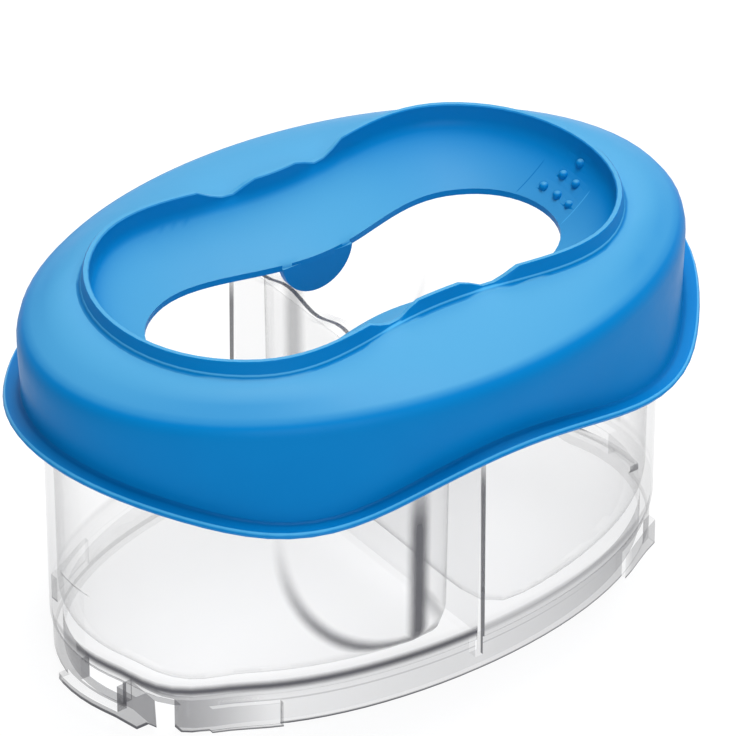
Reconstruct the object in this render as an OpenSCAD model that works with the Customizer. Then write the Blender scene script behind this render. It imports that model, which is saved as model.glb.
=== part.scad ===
// Two-chamber brush washer with a lid that lifts off.
// The clear container is one moulding: two cups side by side over a foot ring.
// The lid is one moulding: edge, skirt, top, ridge with four brush rests, and a
// funnel that slopes down to an opening shaped like a figure of eight.
// The origin is the middle of the foot ring, on the table. X runs along the long side.

/* [Lid] */
// Length over the lid's edge
lid_len = 135; // [124:0.5:150]
// Width over the lid's edge, across the middle
lid_wid = 94.6; // [88:0.2:104]
// Height of the lid's edge above the table
edge_h = 50.3; // [44:0.1:56]
// How far the edge rises at its ends and middle, and dips at its four corners
edge_wave = 2.6; // [0:0.1:4]
// How far the edge stands out at its four corners
corner_bulge = 2.8; // [0:0.1:4]
// Width of the flat edge outside the skirt
edge_lip = 2.6; // [1.5:0.1:4]
// Thickness of the flat edge
edge_t = 1.2; // [0.8:0.1:2]
// Wall thickness of the lid
lid_wall = 1.6; // [1.2:0.1:2.2]
// Length of the lid at its shoulder
shoulder_len = 129.4; // [120:0.2:140]
// Width of the lid at its shoulder
shoulder_wid = 90.6; // [84:0.2:98]
// Height of the shoulder above the edge
skirt_h = 17.4; // [14:0.1:22]
// Radius of the rounding at the shoulder
shoulder_r = 3.6; // [2:0.1:5]
// Rise of the top from the shoulder to the ridge
top_rise = 2.8; // [1.5:0.1:5]

/* [Ridge and brush rests] */
// Length over the ridge
ridge_len = 102.4; // [92:0.2:108]
// Width of the ridge before its waist is drawn in
ridge_wid = 64.4; // [58:0.2:70]
// How much fuller than an ellipse the ridge is at its corners
ridge_full = 0.26; // [0:0.02:0.4]
// Depth of the waist on each side of the ridge
ridge_waist = 7.4; // [0:0.1:10]
// Thickness of the ridge
ridge_t = 1.1; // [0.9:0.1:2]
// Depth of the ridge's upright inner side, down to the funnel
ridge_in = 2.5; // [2.2:0.1:3.4]
// Height of the ridge above the top beside it
ridge_h = 3; // [2:0.1:5]
// Rise of the ridge along its four corners
ridge_crown = 0.2; // [0:0.1:1.2]
// Distance of the brush rests from the middle, along the length
rest_x = 10.4; // [8:0.1:14]
// Half the width of a brush rest
rest_w = 5.6; // [4:0.1:8]
// Half the width of a brush rest's flat bottom
rest_flat = 1.4; // [0:0.1:3]
// Depth of a brush rest
rest_d = 2; // [1:0.1:2.1]

/* [Funnel and opening] */
// Length of the opening
mouth_len = 83.2; // [74:0.2:88]
// Width of the opening before its waist is drawn in
mouth_wid = 34.2; // [30:0.2:38]
// How much fuller than an ellipse the opening is at its corners
mouth_full = 0.48; // [0:0.02:0.6]
// Depth of the waist on each side of the opening
mouth_waist = 6.2; // [0:0.1:8]
// Depth of the opening's edge below the ridge
funnel_d = 11; // [8:0.1:13]
// Height of the upright lip round the opening
lip_h = 1.2; // [1:0.1:3]
// Width of the tongue that hangs from the lip at each side of the waist
tongue_w = 15; // [10:0.2:18]
// How far a tongue hangs below the lip
tongue_h = 6.2; // [2:0.1:7]
// Thickness of a tongue
tongue_t = 1.5; // [1:0.1:2]
// Radius of the six wiping bumps
bump_r = 0.9; // [0.6:0.1:1.4]
// Distance between neighbouring bumps in a row
bump_step = 3.8; // [2.6:0.1:4.4]
// How far the middle of the bumps lies towards the front
bump_off = 0.75; // [0:0.05:1]

/* [Container] */
// Length of the container at its rim
cup_len = 121.8; // [112:0.2:123]
// Width of the container at its rim
cup_wid = 76.4; // [68:0.2:80]
// How much fuller than an ellipse the container is at its corners
cup_full = 0.08; // [0:0.01:0.12]
// How far the foot stands out at its two clipped corners, fading out towards the rim
corner_out = 2.6; // [0:0.1:3.2]
// Draft of the walls on each side, from the rim to the foot
draft = 0.5; // [0.3:0.1:1.6]
// Wall thickness of the container
cup_wall = 1.6; // [1.2:0.1:2.2]
// Height of the cups' floor above the table
floor_h = 8.6; // [7:0.1:12]
// Thickness of the floor
floor_t = 1.8; // [1.2:0.1:2.4]
// Radius between the floor and the walls
floor_r = 5; // [2:0.1:8]
// Height of the divider's top above the table
divider_h = 50; // [36:0.1:54]
// Height of the gentle waves along the divider's top
divider_wave = 0.8; // [0:0.1:1.5]
// Width of the gap in the divider at its foot
gap_foot = 1.6; // [1:0.1:2.4]
// Width of the gap in the divider at its top
gap_top = 0.8; // [0.5:0.1:1.4]
// Height of the gap's lower end above the table
gap_low = 3.2; // [1:0.1:5]
// How square the cups' corners are beside the divider
cup_square = 9; // [5:0.5:14]

/* [Foot ring] */
// Height of the foot ring
ring_h = 7.4; // [5:0.1:7.6]
// Thickness of the foot ring
ring_t = 1.8; // [1.2:0.1:2.4]
// How far the ring steps back under the wall
ring_step = 0.5; // [0.2:0.1:1.2]
// Where a raised panel starts, along the length
panel_from = 37.8; // [30:0.2:42]
// Where a raised panel ends, along the length
panel_to = 49; // [44:0.2:51]
// How far a panel stands out
panel_t = 1; // [0.5:0.1:1.6]
// Height of a panel's top above the table
panel_h = 5.6; // [4:0.1:6.6]
// Where the gap in the ring starts, along the length
slot_from = 53; // [52:0.2:54]
// Where the gap in the ring ends, along the length
slot_to = 56; // [55.4:0.2:56.8]
// Where the ledge at the foot starts, behind the middle of the end
ledge_from = 4.4; // [0:0.2:8]
// Height of the ledge
ledge_h = 1.4; // [1:0.1:1.8]
// Where the end block starts, across the width
block_from = 11.4; // [9:0.2:12.4]
// Where the end block ends, across the width
block_to = 16; // [14:0.2:16.4]
// How far the end block and the ledge stand out
block_t = 1.9; // [0.8:0.1:2.2]
// Width of the window in the ring beside the block
window_w = 10.2; // [6:0.2:11]
// Height of the window's lower side above the table
window_z = 2; // [1.2:0.1:3]
// Height of the window
window_h = 4.6; // [2:0.1:5]
// Length of a fill mark on an end wall
mark_len = 9; // [5:0.5:14]
// Height of the fill marks above the table
mark_h = 22.4; // [14:0.2:36]

/* [Fit] */
// Clearance between the container's rim and the lid's locating rib
rim_gap = 0.4; // [0.3:0.05:0.8]
// Thickness of the locating rib
rib_t = 1; // [0.8:0.1:1.4]
// How far the locating rib reaches down outside the rim
rib_h = 4; // [2:0.1:6]

/* [Hidden] */

// Points round a lid ring, and round a container ring
lid_n = 104;
cup_n = 96;
chamber_n = 64;
// Points crowd towards the long sides, where the brush rests are, by this many degrees
crowd = 8;
// A cut runs this far past the face that it opens
past = 1;

shoulder_z = edge_h + skirt_h;
ridge_foot_z = shoulder_z + top_rise;
ridge_z = ridge_foot_z + ridge_h;
mouth_z = ridge_z - funnel_d;
// The rim carries the lid on a flat landing under the top
rim_z = shoulder_z - 0.9;
landing_w = 4;
// The clipped corners lie at this angle from the long axis, and reach this far to each side
corner_at = 20.5;
corner_span = 12;
rib_in = rim_gap;
rib_out = rim_gap + rib_t;

function mix(a, b, f) = a + (b - a) * f;
function at(p, z) = [p[0], p[1], z];
function bell(x, span) = abs(x) < span ? (1 + cos(180 * x / span)) / 2 : 0;
function lid_angle(i) = let (t = 360 * i / lid_n) t + crowd * sin(2 * t);

// An oval of half sizes a and b, fuller at its corners and drawn in at its waist
function oval(t, a, b, full = 0, waist = 0) =
    [a * cos(t),
     b * sin(t) * (1 + full * pow(cos(t), 2)) - sign(sin(t)) * waist * bell(a * cos(t), 0.76 * a)];

// The five outlines of the lid, each moved in by d
function edge(t, d = 0) =
    let (p = oval(t, lid_len / 2, lid_wid / 2), u = p / norm(p), s = 2 * u[0] * u[1])
    p + (corner_bulge * pow(s, 6) - d) * u;
function shoulder(t, d = 0) = oval(t, shoulder_len / 2 - d, shoulder_wid / 2 - d);
function ridge(t, d = 0) =
    oval(t, ridge_len / 2 - d, ridge_wid / 2 - d, ridge_full, ridge_waist);
function mouth(t, d = 0) =
    oval(t, mouth_len / 2 - d, mouth_wid / 2 - d, mouth_full, mouth_waist);
function rim(t, d = 0) = oval(t, cup_len / 2 + d, cup_wid / 2 + d, cup_full);

// Height of the edge and of the ridge round the lid
function wave(p) = let (u = p / norm(p)) 1 - 8 * pow(u[0] * u[1], 2);
function edge_z(t) = edge_h + edge_wave * wave(edge(t));
function rest_dip(x) =
    rest_d * bell(max(0, abs(abs(x) - rest_x) - rest_flat), rest_w - rest_flat);
function ridge_top(t) =
    let (p = ridge(t)) ridge_z - ridge_crown * wave(p) - rest_dip(p[0]);

// Skirt from the edge, s = 0, to the shoulder, s = 1, with its flare near the edge
function skirt(t, s, d = 0) =
    at(mix(edge(t, edge_lip + 0.8 + d), shoulder(t, d), 1 - pow(1 - s, 1.7)),
       mix(edge_z(t) + 2, shoulder_z - shoulder_r, s));
// Rounding at the shoulder, from the skirt, a = 0, to the top, a = 1
function shoulder_round(t, a) =
    at(shoulder(t, shoulder_r * (1 - cos(76 * a))), shoulder_z - shoulder_r * (1 - sin(76 * a)));
// Top from the shoulder, u = 0, to the ridge, u = 1
function top(t, u) =
    at(mix(shoulder(t, shoulder_r * (1 - cos(76))), ridge(t, -ridge_t), u),
       mix(shoulder_z - shoulder_r * (1 - sin(76)), ridge_foot_z, 1 - pow(1 - u, 2)));
// Funnel from the ridge, f = 0, to the opening, f = 1, lowered by e
function funnel(t, f, e = 0) =
    at(mix(ridge(t, ridge_t + e * (1 - f)), mouth(t), f),
       mix(ridge_z - ridge_in, mouth_z, pow(f, 0.66)) - e);

// Rings of the lid in order: round the edge, up the outside, over the ridge, down the
// funnel, round the lip, and back along the underside and the inside of the skirt
function lid_section(t) = concat(
    [for (k = [-1, 0, 1]) at(edge(t, 0.35 * abs(k)), edge_z(t) + k * edge_t / 2)],
    [at(edge(t, edge_lip), edge_z(t) + edge_t / 2),
     at(edge(t, edge_lip + 0.6), edge_z(t) + edge_t / 2 + 0.5)],
    [for (s = [0.02, 0.25, 0.5, 0.78]) skirt(t, s)],
    [for (a = [0, 0.35, 0.7, 1]) shoulder_round(t, a)],
    [for (u = [0.25, 0.55, 0.85]) top(t, u)],
    [at(ridge(t, -ridge_t), ridge_foot_z),
     at(ridge(t, -0.3 * ridge_t), min(ridge_foot_z + 0.5, ridge_top(t) - 0.25)),
     at(ridge(t, 0), ridge_top(t) - 0.2),
     at(ridge(t, 0.2), ridge_top(t)),
     at(ridge(t, ridge_t - 0.2), ridge_top(t)),
     at(ridge(t, ridge_t), ridge_top(t) - 0.2)],
    [for (f = [0, 0.05, 0.11, 0.18, 0.26, 0.35, 0.44, 0.54, 0.65, 0.77, 0.89, 1]) funnel(t, f)],
    [at(mouth(t), mouth_z - lip_h),
     at(mouth(t, -lid_wall), mouth_z - lip_h)],
    [for (f = [0.8, 0.5, 0.2]) funnel(t, f, lid_wall + 0.2)],
    [at(rim(t, -landing_w), rim_z),
     at(rim(t, rib_in), rim_z),
     at(rim(t, rib_in), rim_z - rib_h),
     at(rim(t, rib_out), rim_z - rib_h),
     at(rim(t, rib_out), rim_z - 0.4)],
    [for (s = [0.9, 0.5, 0.15]) skirt(t, s, lid_wall)],
    [at(edge(t, edge_lip + 0.6 + lid_wall), edge_z(t) - edge_t / 2)]);

// A closed tube of rings: each section is one slice through the wall
module ring_body(sections) {
    n = len(sections);
    m = len(sections[0]);
    polyhedron(
        points = [for (s = sections) for (p = s) p],
        faces = [for (i = [0:n - 1]) for (j = [0:m - 1])
            let (i2 = (i + 1) % n, j2 = (j + 1) % m)
            each [[i * m + j, i2 * m + j2, i2 * m + j], [i * m + j, i * m + j2, i2 * m + j2]]],
        convexity = 10);
}

// A closed solid from stacked outlines, lowest first
module stack(outlines) {
    n = len(outlines[0]);
    m = len(outlines);
    polyhedron(
        points = [for (o = outlines) for (p = o) p],
        faces = concat(
            [[for (i = [0:n - 1]) i]],
            [for (k = [0:m - 2]) for (i = [0:n - 1])
                let (i2 = (i + 1) % n)
                each [[k * n + i, (k + 1) * n + i, (k + 1) * n + i2],
                      [k * n + i, (k + 1) * n + i2, k * n + i2]]],
            [[for (i = [n - 1:-1:0]) (m - 1) * n + i]]),
        convexity = 4);
}

// Tongue that hangs from the lip at one side of the waist
module tongue() {
    lip_y = mouth_wid / 2 - mouth_waist;
    translate([0, lip_y + tongue_t + 0.2, mouth_z - lip_h + 0.6])
        rotate([90, 0, 0])
            linear_extrude(tongue_t)
                intersection() {
                    translate([-tongue_w / 2, -tongue_h - 0.6])
                        square([tongue_w, tongue_h + 0.6]);
                    translate([0, tongue_r() - tongue_h - 0.6])
                        circle(r = tongue_r(), $fn = 72);
                }
}
// Radius of a tongue's round edge, from its width and depth
function tongue_r() = (pow(tongue_w / 2, 2) + pow(tongue_h + 0.6, 2)) / (2 * (tongue_h + 0.6));

// Three rows of bumps on the steep end of the funnel
module bumps() {
    for (row = [0:2])
        for (k = [0:row])
            let (y = (k - row / 2) * bump_step - bump_off,
                 f = [0.1, 0.37, 0.7][row],
                 t = asin(y / (ridge_wid / 2 * (1 + ridge_full))),
                 p = funnel(t, f))
            translate([p[0], y, p[2]])
                sphere(r = bump_r, $fn = 16);
}

module lid() {
    color("dodgerblue") {
        ring_body([for (i = [0:lid_n - 1]) lid_section(lid_angle(i))]);
        tongue();
        mirror([0, 1, 0]) tongue();
        bumps();
    }
}

// How far a wall point p stands out at height z, at the right back and the left front
function corner(p, z) =
    corner_out * (1 - z / rim_z) * bell((atan2(p[1], p[0]) + 360) % 180 - corner_at, corner_span);

// Outline of the container at height z, moved in by d
function cup_point(t, z, d = 0) =
    let (in = draft * (1 - z / rim_z) + d,
         p = oval(t, cup_len / 2 - in, cup_wid / 2 - in, cup_full))
    p * (1 + corner(p, z) / norm(p));
function cup_outline(z, d = 0) =
    [for (i = [0:cup_n - 1]) at(cup_point(360 * i / cup_n, z, d), z)];

// Half the gap in the divider at height z
function half_gap(z) = mix(gap_foot, gap_top, (z - ring_h) / (divider_h - ring_h)) / 2;

// Reach of a chamber from its own middle, in the direction a
chamber_x = cup_len / 4;
function wall_reach(a, ra, rb) =
    let (qa = pow(cos(a) / ra, 2) + pow(sin(a) / rb, 2),
         qb = 2 * chamber_x * cos(a) / (ra * ra),
         qc = pow(chamber_x / ra, 2) - 1)
    (-qb + sqrt(qb * qb - 4 * qa * qc)) / (2 * qa);
function chamber_reach(a, z) =
    let (in = draft * (1 - z / rim_z) + cup_wall,
         ra = cup_len / 2 - in,
         rb = cup_wid / 2 - in,
         x_hit = chamber_x + wall_reach(a, ra, rb) * cos(a),
         plain = wall_reach(a, ra, rb * (1 + cup_full * pow(x_hit / ra, 2))),
         hit = [chamber_x + plain * cos(a), plain * sin(a)],
         far = plain + corner(hit, z),
         flat = (chamber_x - half_gap(z) - cup_wall) / max(0.001, -cos(a)))
    pow(pow(far, -cup_square) + pow(flat, -cup_square), -1 / cup_square);
function chamber_outline(z, d) =
    [for (i = [0:chamber_n - 1])
        let (a = 360 * i / chamber_n, r = chamber_reach(a, z) - d)
        [chamber_x + r * cos(a), r * sin(a), z]];

// One chamber: a rounded floor and walls that open upwards
module chamber() {
    stack(concat(
        [for (a = [0:15:90])
            chamber_outline(floor_h + floor_r * (1 - cos(a)), floor_r * (1 - sin(a)))],
        [chamber_outline(divider_h, 0),
         chamber_outline(rim_z + past, 0)]));
}

// Room above the divider, where both chambers meet under the lid
module over_divider() {
    inner_b = cup_wid / 2 - cup_wall;
    span = 12;
    steps = 40;
    wave_len = 16;
    translate([-span, 0, 0])
        rotate([90, 0, 90])
            linear_extrude(2 * span)
                polygon(concat(
                    [for (i = [0:steps])
                        let (y = mix(-inner_b, inner_b, i / steps),
                             side = max(0, abs(y) - inner_b + 8) / 8)
                        [y, divider_h + divider_wave * sin(360 * abs(y) / wave_len)
                            * (1 - side) + 8 * (1 - sqrt(1 - side * side * 0.98))]],
                    [[inner_b, rim_z + past], [-inner_b, rim_z + past]]));
}

// Gap between the two walls of the divider, through both sides and the top of the ring
module divider_gap() {
    top_z = divider_h - cup_wall;
    translate([0, cup_wid / 2 + past, 0])
        rotate([90, 0, 0])
            linear_extrude(cup_wid + 2 * past)
                polygon([[-half_gap(gap_low), gap_low], [half_gap(gap_low), gap_low],
                         [half_gap(top_z), top_z - 1], [0, top_z],
                         [-half_gap(top_z), top_z - 1]]);
}

// Slice of the foot ring between two heights, moved out by d, as a flat band
module ring_band(z0, z1, d_out, d_in) {
    translate([0, 0, z0])
        linear_extrude(z1 - z0)
            difference() {
                polygon([for (p = cup_outline(0, ring_step - d_out)) [p[0], p[1]]]);
                polygon([for (p = cup_outline(0, ring_step + d_in)) [p[0], p[1]]]);
            }
}

// Raised panel of one corner of the ring, drawn at the left front
module panel() {
    intersection() {
        ring_band(0.4, panel_h, panel_t, ring_t / 2);
        translate([-panel_to, -cup_wid, 0])
            cube([panel_to - panel_from, cup_wid, ring_h]);
    }
}

// Ledge and block of one end, and its gap and window, drawn at the left front
module end_added() {
    intersection() {
        ring_band(0, ledge_h, block_t, ring_t / 2);
        translate([-cup_len, -block_to, 0])
            cube([cup_len, block_to + ledge_from, ring_h]);
    }
    intersection() {
        ring_band(0, ring_h - 0.4, block_t, ring_t / 2);
        translate([-cup_len, -block_to, 0])
            cube([cup_len, block_to - block_from, ring_h]);
    }
}
module end_removed() {
    intersection() {
        ring_band(-past, ring_h - 1.4, ring_t, ring_t + past);
        translate([-slot_to, -cup_wid, -past])
            cube([slot_to - slot_from, cup_wid, ring_h + past]);
    }
    translate([-cup_len / 2 - past, -window_w - 0.4, window_z])
        cube([ring_t + draft + ring_step + 3 * past, window_w, window_h]);
}

// Short raised line on an end wall
module fill_mark() {
    intersection() {
        translate([0, 0, mark_h])
            linear_extrude(0.5)
                polygon([for (p = cup_outline(mark_h, -0.3)) [p[0], p[1]]]);
        translate([-cup_len, -mark_len / 2, mark_h])
            cube([cup_len - chamber_x, mark_len, 1]);
    }
}

module container() {
    color([0.86, 0.89, 0.92, 0.55])
        difference() {
            union() {
                stack([
                    cup_outline(0, ring_step + 0.4),
                    cup_outline(0.4, ring_step),
                    cup_outline(ring_h - 0.3, ring_step),
                    cup_outline(ring_h, 0),
                    cup_outline(rim_z, 0)]);
                for (turn = [0, 180])
                    rotate([0, 0, turn]) {
                        panel();
                        mirror([1, 0, 0]) panel();
                        end_added();
                        fill_mark();
                    }
            }
            chamber();
            rotate([0, 0, 180]) chamber();
            over_divider();
            divider_gap();
            translate([0, 0, -past])
                linear_extrude(floor_h - floor_t + past)
                    polygon([for (p = cup_outline(0, ring_step + ring_t)) [p[0], p[1]]]);
            end_removed();
            rotate([0, 0, 180]) end_removed();
        }
}

container();
lid();
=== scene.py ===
"""Two-chamber brush washer: materials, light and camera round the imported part.

Lengths are metres in the part's frame: X runs along the long side, Y to the back, Z up.
"""

import math

import bpy
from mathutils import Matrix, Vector


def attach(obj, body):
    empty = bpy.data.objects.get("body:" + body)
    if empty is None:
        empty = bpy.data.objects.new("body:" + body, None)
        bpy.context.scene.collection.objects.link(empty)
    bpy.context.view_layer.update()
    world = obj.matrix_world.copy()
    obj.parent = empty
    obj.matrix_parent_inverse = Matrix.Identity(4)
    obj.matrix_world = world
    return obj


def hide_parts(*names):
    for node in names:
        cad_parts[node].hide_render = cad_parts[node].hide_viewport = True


MM = 0.001

# Camera: where it looks, from which side, and the photograph's framing in its pixels
LOOK_AT = Vector((0.0, 0.0, 50.3 * MM))
CAMERA_TURN = 0.62907
CAMERA_LIFT = 0.58456
CAMERA_DISTANCE = 1217.5 * MM
CAMERA_CLIP = (0.05, 30.0)
FOCAL_PIXELS = 6896.4
OPTICAL_AXIS = (354.93, 339.40)
PICTURE = 736
SENSOR = 36.0

# Light: strength of the white world, and each soft light's place, aim, width, depth and watts
WORLD_STRENGTH = 0.4
SOFT_LIGHTS = {
    "key": ((0.24, 0.12, 1.20), (0.0, 0.0, 0.05), 0.62, 0.62, 14.0),
    "back": ((0.80, 1.08, 0.93), (0.0, 0.0, 0.06), 1.2, 0.8, 5.0),
    "front": ((-0.40, -1.20, 0.60), (0.0, 0.0, 0.06), 0.8, 0.6, 7.0),
}

# The white ground: a plane just under the foot, grey paint that glows
GROUND_SIZE = 8.0
GROUND_DROP = 0.2 * MM
GROUND_GREY = (0.16, 0.16, 0.16, 1.0)
GROUND_GLOW = 0.90
WHITE = (1.0, 1.0, 1.0, 1.0)

# Joining the loose triangles of a moulded part, angles in degrees
MERGE_DISTANCE = 0.01 * MM
FLAT_ANGLE = 0.4
QUAD_ANGLES = (30, 75)
LID_SMOOTH_ANGLE = 24
CONTAINER_SMOOTH_ANGLE = 32
EVEN_WEIGHT = 70

# Places on the container; a normal counts as facing an axis from FACES on
GAP_HALF = 1.2 * MM
DIVIDER_HALF = 4.0 * MM
DIVIDER_TOP = 48.0 * MM
RIM_LOW = 62.0 * MM
CHAMBER_FLOOR = 8.7 * MM
RING_TOP = 7.4 * MM
RING_FACES_BELOW = 7.6 * MM
FACES = 0.7

# Painted shade in the clear plastic, soft dark bands where shade falls and where edges show through the
# thick walls: start, end and softness of each, and how dark it is
CORNER_BAND = (10.3 * MM, 13.7 * MM, 1.4 * MM)
CORNER_FADE = (34.0 * MM, 49.0 * MM)
CORNER_DARK = 0.94
CORNER_WALL = (20.0 * MM, 27.0 * MM)
FLOOR_BAND = (10.0 * MM, 12.0 * MM, 1.2 * MM)
FLOOR_DARK = 0.12
FOOT_BAND = (8.3 * MM, 10.1 * MM, 0.9 * MM)
FOOT_DARK = 0.97
FOOT_DARK_PLAIN_SIDE = 0.55 * FOOT_DARK
LOW_WALL_SHADE_BAND = (6.0 * MM, 10.5 * MM, 3.0 * MM)
RIM_BAND = (66.0 * MM, 70.0 * MM, 0.3 * MM)
SOFT_SHADE_DARK = 0.24
RING_EDGE_BAND = (-1.0 * MM, 0.75 * MM, 0.3 * MM)
PANEL_BAND = (5.5 * MM, 5.9 * MM, 0.25 * MM)
PANEL_DARK = 0.45
RING_END = (30.0 * MM, 58.0 * MM)
RING_END_DARK = 0.50
GAP_END_BAND = (36.6 * MM, 60.0 * MM, 0.2 * MM)
GAP_FADE = (38.0 * MM, 49.0 * MM)
GAP_DARK = (0.90, 0.15)
SPINE_BAND = (-1.0 * MM, 0.42 * MM, 0.14 * MM)
SPINE_DARK = 0.85

# Painted refraction: the floor edge's soft dark curve, drawn on the front wall: along^power +
# down^power = 1, over these spans
ECHO_ALONG = (12.0 * MM, 37.8 * MM)
ECHO_DOWN = (42.0 * MM, 10.4 * MM)
ECHO_REACH = 1.5
ECHO_POWER = 2.3
ECHO_BAND = (0.90, 1.04, 0.09)
ECHO_FADE = (12.0 * MM, 46.0 * MM)
ECHO_DARK = 0.90

# Share of the grey that still shows on a far wall, seen through the near one
FAR_WALL = 0.25
FAR_CHAMBER_WALL = 0.5

# The lid's edge: half its length and width, its corner bulge, and the painted shade and highlight lines
# along it
EDGE_HALF = (67.5 * MM, 47.3 * MM)
EDGE_BULGE = 2.8 * MM
EDGE_BULGE_POWER = 6.0
EDGE_HIGHLIGHT_LINE = (-0.50 * MM, -0.20 * MM, 0.12 * MM)
EDGE_SHADE_LINE = (-3.5 * MM, -2.5 * MM, 0.4 * MM)

# The painted highlight line at the ridge's foot, and the painted shade and highlight lines on the two
# creases beside the wiping bumps
RIDGE_FOOT_HIGHLIGHT = (70.95 * MM, 71.25 * MM, 0.10 * MM)
CREASE_ALONG = (40.6 * MM, 46.6 * MM, 0.5 * MM)
CREASE_BACK_SHADE = (6.45 * MM, 6.60 * MM, 0.10 * MM)
CREASE_FRONT_HIGHLIGHT = (-6.75 * MM, -6.60 * MM, 0.10 * MM)

# Where the lid gets a painted sheen, a paler blue: heights, how far a face looks up, and the funnel's
# help towards its left
SHEEN_HEIGHT = (52.0 * MM, 60.0 * MM)
SHEEN_FACING = (0.62, 1.02)
LINE_FACING = 0.3
FUNNEL_RIGHT = (8.0 * MM, 34.0 * MM)
FUNNEL_EXTRA_SHEEN = 0.11

# Colours, linear
LID_BLUE = (0.0, 0.182, 0.49, 1.0)
LID_BLUE_DEEP = (0.0, 0.170, 0.47, 1.0)
# Painted light on the lid: the paler sheen blue, then the painted highlight and painted shade line
# blues
LID_BLUE_PAINTED_SHEEN = (0.066, 0.298, 0.53, 1.0)
LID_BLUE_PAINTED_HIGHLIGHT = (0.07, 0.38, 0.70, 1.0)
LID_BLUE_PAINTED_SHADE = (0.0, 0.13, 0.39, 1.0)
CLEAR_DARK = (0.038, 0.038, 0.050, 1.0)
CLEAR_LIGHT = (0.060, 0.060, 0.076, 1.0)
PLASTIC_IOR = 1.49

UNIT = (0.0, 1.0)


def only(piece):
    """Select this piece alone and make it active."""
    bpy.ops.object.select_all(action="DESELECT")
    piece.select_set(True)
    bpy.context.view_layer.objects.active = piece


def merged_copy(node, name, smooth_angle):
    """A copy of a moulded part with its loose triangles joined and its round faces smooth."""
    piece = node.copy()
    piece.data = node.data.copy()
    piece.name = name
    piece.parent = None
    for key in list(piece.keys()):
        del piece[key]
    bpy.context.scene.collection.objects.link(piece)
    piece.hide_render = False
    only(piece)
    face_angle, shape_angle = (math.radians(angle) for angle in QUAD_ANGLES)
    bpy.ops.object.mode_set(mode="EDIT")
    bpy.ops.mesh.select_all(action="SELECT")
    bpy.ops.mesh.remove_doubles(threshold=MERGE_DISTANCE)
    bpy.ops.mesh.dissolve_limited(angle_limit=math.radians(FLAT_ANGLE), delimit={"NORMAL"})
    bpy.ops.mesh.tris_convert_to_quads(face_threshold=face_angle, shape_threshold=shape_angle)
    bpy.ops.object.mode_set(mode="OBJECT")
    bpy.ops.object.shade_smooth_by_angle(angle=math.radians(smooth_angle))
    even = piece.modifiers.new("even_shading", "WEIGHTED_NORMAL")
    even.keep_sharp = True
    even.weight = EVEN_WEIGHT
    bpy.ops.object.modifier_apply(modifier=even.name)
    return piece


class Paint:
    """One material, with a short way to add its nodes. A value is a number or a node's output."""

    def __init__(self, name):
        self.material = bpy.data.materials.new(name)
        self.material.use_nodes = True
        self.tree = self.material.node_tree
        self.tree.nodes.clear()
        self.place = self.add("ShaderNodeTexCoord").outputs["Object"]
        self.shader = self.add("ShaderNodeBsdfPrincipled")
        surface = self.add("ShaderNodeOutputMaterial")
        self.feed(self.shader.outputs["BSDF"], surface, "Surface")

    def add(self, kind, **settings):
        node = self.tree.nodes.new(kind)
        for key, value in settings.items():
            setattr(node, key, value)
        return node

    def feed(self, value, node, socket):
        """Join a node's output to a socket, or set the socket to a constant."""
        if isinstance(value, bpy.types.NodeSocket):
            self.tree.links.new(value, node.inputs[socket])
        else:
            node.inputs[socket].default_value = value

    def set(self, **values):
        """Values of the surface itself: Base_Color, Roughness and so on."""
        for key, value in values.items():
            self.feed(value, self.shader, key.replace("_", " "))

    def maths(self, operation, *values):
        node = self.add("ShaderNodeMath", operation=operation)
        for socket, value in enumerate(values):
            self.feed(value, node, socket)
        return node.outputs["Value"]

    def times(self, first, second):
        return self.maths("MULTIPLY", first, second)

    def plus(self, first, second):
        return self.maths("ADD", first, second)

    def greater(self, first, second):
        return self.maths("MAXIMUM", first, second)

    def turned(self, value, before, after, shape="LINEAR"):
        """A value that runs over one range, turned into another range."""
        node = self.add("ShaderNodeMapRange", interpolation_type=shape)
        self.feed(value, node, "Value")
        for socket, limit in zip(("From Min", "From Max", "To Min", "To Max"), before + after):
            self.feed(limit, node, socket)
        return node.outputs["Result"]

    def softly(self, value, before, after=UNIT):
        """The same, with a soft start and end."""
        return self.turned(value, before, after, "SMOOTHSTEP")

    def band(self, value, start, end, soft):
        """One between start and end of a value, falling softly to nothing on both sides."""
        rise = self.softly(value, (start - soft, start + soft))
        fall = self.softly(value, (end - soft, end + soft), (1.0, 0.0))
        return self.times(rise, fall)

    def noise(self, scale, detail, roughness=0.5):
        texture = self.add("ShaderNodeTexNoise")
        self.feed(self.place, texture, "Vector")
        for socket, value in (("Scale", scale), ("Detail", detail), ("Roughness", roughness)):
            self.feed(value, texture, socket)
        return texture.outputs[0]

    def mix(self, share, first, second):
        node = self.add("ShaderNodeMix", data_type="RGBA")
        for socket, value in ((0, share), (6, first), (7, second)):
            self.feed(value, node, socket)
        return node.outputs[2]

    def bump(self, height, strength, distance, under=None):
        """The surface's normal with a fine relief, laid over an earlier one."""
        node = self.add("ShaderNodeBump")
        for socket, value in (("Height", height), ("Strength", strength), ("Distance", distance)):
            self.feed(value, node, socket)
        if under:
            self.feed(under, node, "Normal")
        return node.outputs["Normal"]

    def along(self, axis):
        """Place along one axis of the part."""
        axes = self.add("ShaderNodeSeparateXYZ")
        self.feed(self.place, axes, "Vector")
        return axes.outputs[axis]

    def off_middle(self, axis):
        """Distance from the part's middle along one axis."""
        return self.maths("ABSOLUTE", self.along(axis))

    def at_corners(self, clipped=True):
        """One at the left front and right back, the clipped corners, or one at the other two."""
        side = self.times(self.along("X"), self.along("Y"))
        return self.maths("GREATER_THAN" if clipped else "LESS_THAN", side, 0.0)


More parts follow.
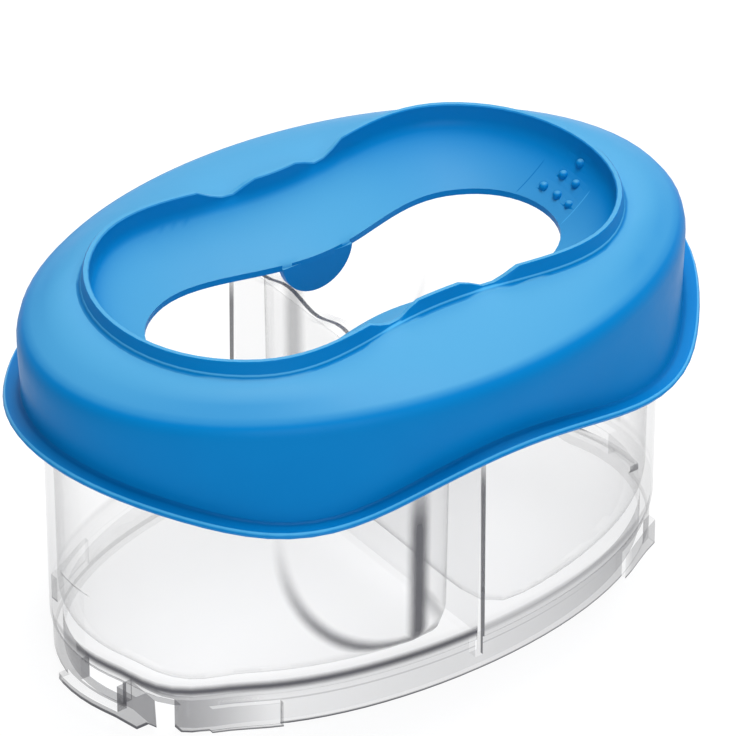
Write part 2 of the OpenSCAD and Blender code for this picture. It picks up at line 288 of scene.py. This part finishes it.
def beyond_edge(paint):
    """How far outside the lid's edge outline a place lies, seen from above."""
    x, y = paint.along("X"), paint.along("Y")

    def length(first, second):
        squares = paint.plus(paint.times(first, first), paint.times(second, second))
        return paint.maths("SQRT", squares)

    reach = length(x, y)
    oval = length(*(paint.maths("DIVIDE", place, half) for place, half in zip((x, y), EDGE_HALF)))
    outline = paint.maths("DIVIDE", reach, oval)
    corner = paint.maths("DIVIDE", paint.times(paint.times(x, y), 2.0), paint.times(reach, reach))
    bulge = paint.maths("POWER", paint.maths("ABSOLUTE", corner), EDGE_BULGE_POWER)
    return paint.maths("SUBTRACT", reach, paint.plus(outline, paint.times(bulge, EDGE_BULGE)))


def lid_plastic():
    """Satin moulded plastic: soft mottling, a painted sheen that makes the top paler, painted highlight
    and shade lines along the edge, the ridge's foot and the creases, sink marks.
    """
    paint = Paint("lid_plastic")
    height = paint.along("Z")
    facing = paint.add("ShaderNodeSeparateXYZ")
    paint.feed(paint.add("ShaderNodeNewGeometry").outputs["Normal"], facing, "Vector")
    upward = facing.outputs["Z"]
    away = paint.plus(*(paint.times(facing.outputs[axis], paint.along(axis)) for axis in "XY"))
    outward = paint.maths("GREATER_THAN", away, 0.0)
    inward = paint.maths("SUBTRACT", 1.0, outward)

    mottle = paint.turned(paint.noise(scale=38.0, detail=3.0), (0.35, 0.65), UNIT)
    colour = paint.mix(mottle, LID_BLUE_DEEP, LID_BLUE)
    # Painted sheen: high faces that look up, and the funnel's inner faces towards its left, turn a
    # paler blue
    funnel_sheen_help = paint.softly(paint.along("X"), FUNNEL_RIGHT, (FUNNEL_EXTRA_SHEEN, 0.0))
    faces_for_sheen = paint.maths("MULTIPLY_ADD", inward, funnel_sheen_help, upward)
    high_up = paint.softly(height, SHEEN_HEIGHT)
    painted_sheen = paint.times(paint.softly(faces_for_sheen, SHEEN_FACING), high_up)
    colour = paint.mix(painted_sheen, colour, LID_BLUE_PAINTED_SHEEN)

    looks_up = paint.maths("GREATER_THAN", upward, LINE_FACING)
    from_edge = beyond_edge(paint)
    by_edge = paint.times(paint.maths("SUBTRACT", 1.0, high_up), looks_up)
    by_bumps = paint.times(paint.band(paint.along("X"), *CREASE_ALONG), looks_up)
    # Painted shade and painted highlight lines: by the edge, at the ridge's foot, and on the creases
    # beside the bumps
    for value, line, where, tone in ((from_edge, EDGE_SHADE_LINE, by_edge, LID_BLUE_PAINTED_SHADE),
                                     (from_edge, EDGE_HIGHLIGHT_LINE, by_edge, LID_BLUE_PAINTED_HIGHLIGHT),
                                     (height, RIDGE_FOOT_HIGHLIGHT, outward, LID_BLUE_PAINTED_HIGHLIGHT),
                                     (paint.along("Y"), CREASE_BACK_SHADE, by_bumps, LID_BLUE_PAINTED_SHADE),
                                     (paint.along("Y"), CREASE_FRONT_HIGHLIGHT, by_bumps, LID_BLUE_PAINTED_HIGHLIGHT)):
        colour = paint.mix(paint.times(paint.band(value, *line), where), colour, tone)

    wear = paint.noise(scale=160.0, detail=4.0, roughness=0.6)
    skin = paint.bump(paint.noise(scale=2600.0, detail=2.0), strength=0.05, distance=0.04 * MM)
    sink_marks = paint.bump(paint.noise(scale=30.0, detail=1.0), strength=0.06,
                            distance=0.3 * MM, under=skin)
    paint.set(Base_Color=colour, Roughness=paint.turned(wear, (0.3, 0.7), (0.34, 0.42)),
              Normal=sink_marks, IOR=PLASTIC_IOR, Specular_IOR_Level=0.06)
    return paint.material


def floor_echo(paint):
    """Painted refraction: the chamber's round floor edge, seen again through the thick front wall,
    drawn as a soft dark line.
    """
    height = paint.along("Z")
    shares = (paint.turned(value, (start, start + ECHO_REACH * (end - start)), (0.0, ECHO_REACH))
              for value, (start, end) in ((paint.off_middle("X"), ECHO_ALONG), (height, ECHO_DOWN)))
    curve = paint.plus(*(paint.maths("POWER", share, ECHO_POWER) for share in shares))
    return paint.times(paint.band(curve, *ECHO_BAND), paint.softly(height, ECHO_FADE, (ECHO_DARK, 0.0)))


def chamber_shade(paint):
    """Painted shade: an upright dark band at the chamber's corner by the divider, where the thick
    corner is seen edge on, and soft dark lines round its floor.
    """
    upright = paint.times(paint.band(paint.off_middle("X"), *CORNER_BAND),
                          paint.softly(paint.along("Z"), CORNER_FADE, (CORNER_DARK, 0.0)))
    near_wall = paint.softly(paint.off_middle("Y"), CORNER_WALL)
    lines = paint.times(paint.greater(upright, floor_echo(paint)), near_wall)
    low = paint.times(paint.band(paint.along("Z"), *FLOOR_BAND), FLOOR_DARK)
    return paint.greater(paint.times(lines, paint.at_corners()), low)


def foot_shade(paint):
    """Painted shade: a dark line over the foot ring, darker on the sides with the blocks, soft grey
    over the wall's low part, and a dark rim line.
    """
    height = paint.along("Z")
    by_blocks = paint.turned(paint.at_corners(), UNIT, (FOOT_DARK_PLAIN_SIDE, FOOT_DARK))
    line = paint.times(paint.band(height, *FOOT_BAND), by_blocks)
    # Painted shade: soft grey over the wall's low part, where the floor's rounding shows through
    haze_and_shade = paint.times(paint.band(height, *LOW_WALL_SHADE_BAND), SOFT_SHADE_DARK)
    rim = paint.times(paint.band(height, *RIM_BAND), SOFT_SHADE_DARK)
    return paint.greater(line, paint.greater(haze_and_shade, rim))


def end_shade(paint):
    """Painted shade: the ring is greyer towards its ends, where the blocks and ledges are."""
    return paint.softly(paint.off_middle("X"), RING_END, (0.0, RING_END_DARK))


def ring_shade(paint):
    """Painted shade: a painted contact shadow at the ring's lower edge, and dark lines along the top of
    its raised panels.
    """
    height = paint.along("Z")
    low = paint.times(paint.band(height, *RING_EDGE_BAND), FOOT_DARK)
    high = paint.times(paint.band(height, *PANEL_BAND), PANEL_DARK)
    return paint.greater(paint.greater(low, high), paint.greater(foot_shade(paint), end_shade(paint)))


def gap_shade(paint):
    """Painted shade: a dark line at each end of the gap, on the side that shows, fading towards its
    top.
    """
    fade = paint.softly(paint.along("Z"), GAP_FADE, GAP_DARK)
    end = paint.times(paint.band(paint.off_middle("Y"), *GAP_END_BAND), fade)
    return paint.times(end, paint.at_corners(clipped=False))


def spine_shade(paint):
    """Painted shade: a thin dark line along the closed top of the gap."""
    return paint.times(paint.band(paint.off_middle("X"), *SPINE_BAND), SPINE_DARK)


# The container's materials: grey face on and edge on, how steeply it grows between them, the
# painted shade lines drawn on it, and the shares that show of a wall's outer and inner face
CLEAR_PLACES = {
    "clear_floor": (0.035, 0.85, 5.0, None, None),
    "clear_gap": (0.012, 0.85, 4.0, gap_shade, None),
    "clear_chamber": (0.016, 0.75, 5.0, chamber_shade, (FAR_CHAMBER_WALL, 1.0)),
    "clear_foot_ring": (0.08, 0.95, 2.2, ring_shade, (1.0, FAR_WALL)),
    "clear_divider_top": (0.012, 0.85, 4.0, spine_shade, None),
    "clear_wall": (0.020, 0.55, 3.2, foot_shade, (1.0, FAR_WALL)),
    "clear_ring_inside": (0.10, 0.85, 2.4, end_shade, (FAR_WALL, 1.0)),
}


def clear_plastic(name, face_on, edge_on, steep, shade, side_shares):
    """Clear moulded plastic: clear face on, greyer where it is seen edge on, with faint flow lines.

    An outside or inside face of the far wall is paler, as the near wall blurs it.
    """
    paint = Paint(name)
    flow_lines = paint.bump(paint.noise(scale=26.0, detail=1.0), strength=0.1, distance=0.4 * MM)
    haze_and_shade = paint.noise(scale=90.0, detail=4.0, roughness=0.6)

    weight = paint.add("ShaderNodeLayerWeight")
    paint.feed(0.5, weight, "Blend")
    paint.feed(flow_lines, weight, "Normal")
    grey = paint.maths("POWER", weight.outputs["Facing"], steep)
    cover = paint.turned(grey, UNIT, (face_on, edge_on))
    if shade:
        cover = paint.greater(cover, shade(paint))
    if side_shares:
        behind = paint.add("ShaderNodeNewGeometry").outputs["Backfacing"]
        cover = paint.times(cover, paint.turned(behind, UNIT, side_shares))

    paint.set(Base_Color=paint.mix(haze_and_shade, CLEAR_DARK, CLEAR_LIGHT), Alpha=cover, Normal=flow_lines,
              Roughness=paint.turned(haze_and_shade, (0.35, 0.7), (0.04, 0.10)), IOR=PLASTIC_IOR)
    return paint.material


def clear_place(face):
    """Which of the container's materials a face gets."""
    middle, normal = face.center, face.normal
    outward = middle.x * normal.x + middle.y * normal.y
    faces_divider = abs(normal.x) > FACES
    in_divider = abs(middle.x) < DIVIDER_HALF
    if abs(middle.x) < GAP_HALF and faces_divider:
        return "clear_gap"
    if in_divider and DIVIDER_TOP < middle.z < RIM_LOW and normal.z > 0.5:
        return "clear_divider_top"
    if middle.z < RING_FACES_BELOW and abs(normal.z) < 0.9:
        return "clear_foot_ring" if outward > 0 else "clear_ring_inside"
    if middle.z > CHAMBER_FLOOR and (in_divider and faces_divider or outward < 0):
        return "clear_chamber"
    if middle.z > RING_TOP and outward > 0 and abs(normal.z) < FACES:
        return "clear_wall"
    return "clear_floor"


def floor_paint():
    """Matt white ground that glows a little, so that it meets a white background."""
    paint = Paint("floor_paint")
    grain = paint.noise(scale=12.0, detail=2.0)
    paint.set(Base_Color=GROUND_GREY, Roughness=paint.turned(grain, (0.3, 0.7), (0.75, 0.85)),
              Specular_IOR_Level=0.0, Emission_Color=WHITE, Emission_Strength=GROUND_GLOW)
    return paint.material


def give(piece, materials):
    """Put these materials on a piece, in place of the ones it had."""
    piece.data.materials.clear()
    for material in materials:
        piece.data.materials.append(material)


def make_floor():
    bpy.ops.object.select_all(action="DESELECT")
    bpy.ops.mesh.primitive_plane_add(size=GROUND_SIZE, location=(0.0, 0.0, -GROUND_DROP))
    floor = bpy.context.active_object
    floor.name = "floor"
    floor.data.materials.append(floor_paint())


def aim(thing, place, ahead):
    """Link a light or camera into the scene at a place, looking ahead."""
    bpy.context.scene.collection.objects.link(thing)
    thing.location = place
    thing.rotation_euler = ahead.to_track_quat("-Z", "Y").to_euler()


def make_light():
    world = bpy.data.worlds.new("studio")
    bpy.context.scene.world = world
    world.use_nodes = True
    background = world.node_tree.nodes["Background"]
    background.inputs["Color"].default_value = WHITE
    background.inputs["Strength"].default_value = WORLD_STRENGTH
    for name, (place, target, width, depth, power) in SOFT_LIGHTS.items():
        light = bpy.data.lights.new(name, "AREA")
        light.shape = "RECTANGLE"
        light.size = width
        light.size_y = depth
        light.energy = power
        aim(bpy.data.objects.new(name, light), place, Vector(target) - Vector(place))


def make_camera():
    ahead = Vector((math.sin(CAMERA_TURN) * math.cos(CAMERA_LIFT),
                    math.cos(CAMERA_TURN) * math.cos(CAMERA_LIFT),
                    -math.sin(CAMERA_LIFT)))
    lens = bpy.data.cameras.new("camera")
    lens.sensor_width = SENSOR
    lens.lens = FOCAL_PIXELS * SENSOR / PICTURE
    lens.shift_x = (PICTURE / 2 - OPTICAL_AXIS[0]) / PICTURE
    lens.shift_y = (OPTICAL_AXIS[1] - PICTURE / 2) / PICTURE
    lens.clip_start, lens.clip_end = CAMERA_CLIP
    camera = bpy.data.objects.new("camera", lens)
    aim(camera, LOOK_AT - ahead * CAMERA_DISTANCE, ahead)
    bpy.context.scene.camera = camera


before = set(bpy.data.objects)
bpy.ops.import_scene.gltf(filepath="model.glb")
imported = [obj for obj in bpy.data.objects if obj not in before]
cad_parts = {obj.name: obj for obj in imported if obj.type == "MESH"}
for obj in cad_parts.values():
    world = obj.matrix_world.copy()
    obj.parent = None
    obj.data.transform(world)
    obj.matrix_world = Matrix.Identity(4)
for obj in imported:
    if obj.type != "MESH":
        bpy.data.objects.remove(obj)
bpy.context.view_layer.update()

make_camera()
make_light()
make_floor()
bpy.context.scene.view_settings.view_transform = "Standard"
# A low look through both chambers meets more clear faces than the usual eight
bpy.context.scene.cycles.transparent_max_bounces = 32

lid = merged_copy(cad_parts["lid"], "washer_lid", LID_SMOOTH_ANGLE)
give(lid, [lid_plastic()])
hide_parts("lid")
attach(lid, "lid")

container = merged_copy(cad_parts["container"], "washer_container", CONTAINER_SMOOTH_ANGLE)
give(container, [clear_plastic(name, *look) for name, look in CLEAR_PLACES.items()])
for face in container.data.polygons:
    face.material_index = list(CLEAR_PLACES).index(clear_place(face))
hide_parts("container")
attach(container, "container")

bpy.context.view_layer.update()
